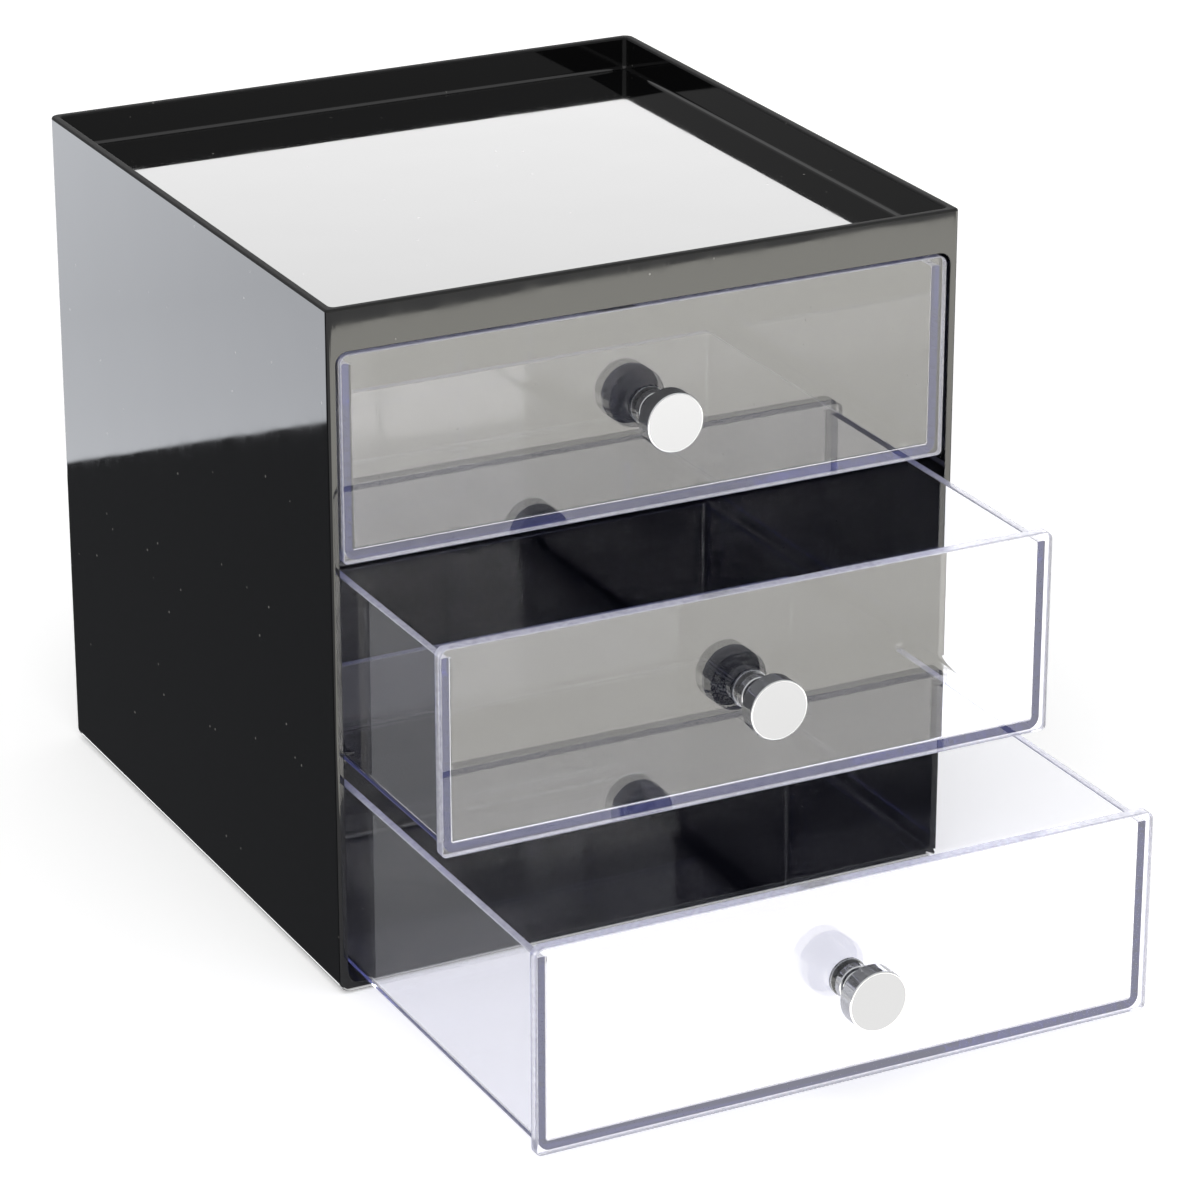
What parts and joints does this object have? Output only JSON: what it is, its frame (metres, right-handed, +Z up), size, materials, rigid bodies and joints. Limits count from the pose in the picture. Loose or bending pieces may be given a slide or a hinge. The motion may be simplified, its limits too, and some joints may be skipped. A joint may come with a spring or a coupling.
{
  "type": "drawer organizer",
  "caption": "Gloss black counter-top case with a shallow rimmed tray on top and clear pull-out drawers, each with a round chrome knob.",
  "frame": {"origin": "centre of the case's underside, 0.4 mm above the surface that the pads stand on", "axes": "+X to the right as seen from the front, +Y to the back, +Z up; the drawers slide out along -Y"},
  "size_m": [0.168, 0.2862, 0.1744],
  "materials": {
    "case": "gloss moulded black polystyrene",
    "drawer": "clear moulded polystyrene",
    "knob": "mirror chrome plating",
    "washer": "zinc plated steel",
    "screw": "zinc plated steel",
    "feet": "matt non-slip rubber"
  },
  "bodies": {
    "case": {"case_shell": "case", "foot_front_left": "feet", "foot_front_right": "feet", "foot_back_left": "feet", "foot_back_right": "feet"},
    "top_slider": {"top_drawer": "drawer", "top_knob": "knob", "top_washer": "washer", "top_screw": "screw"},
    "middle_slider": {"middle_drawer": "drawer", "middle_knob": "knob", "middle_washer": "washer", "middle_screw": "screw"},
    "bottom_slider": {"bottom_drawer": "drawer", "bottom_knob": "knob", "bottom_washer": "washer", "bottom_screw": "screw"}
  },
  "joints": [
    {"name": "top_slide", "type": "slide", "parent": "case", "child": "top_slider", "axis": [0, -1, 0], "range_m": [0, 0.14]},
    {"name": "middle_slide", "type": "slide", "parent": "case", "child": "middle_slider", "axis": [0, -1, 0], "range_m": [-0.052, 0.088]},
    {"name": "bottom_slide", "type": "slide", "parent": "case", "child": "bottom_slider", "axis": [0, -1, 0], "range_m": [-0.1, 0.04]}
  ]
}
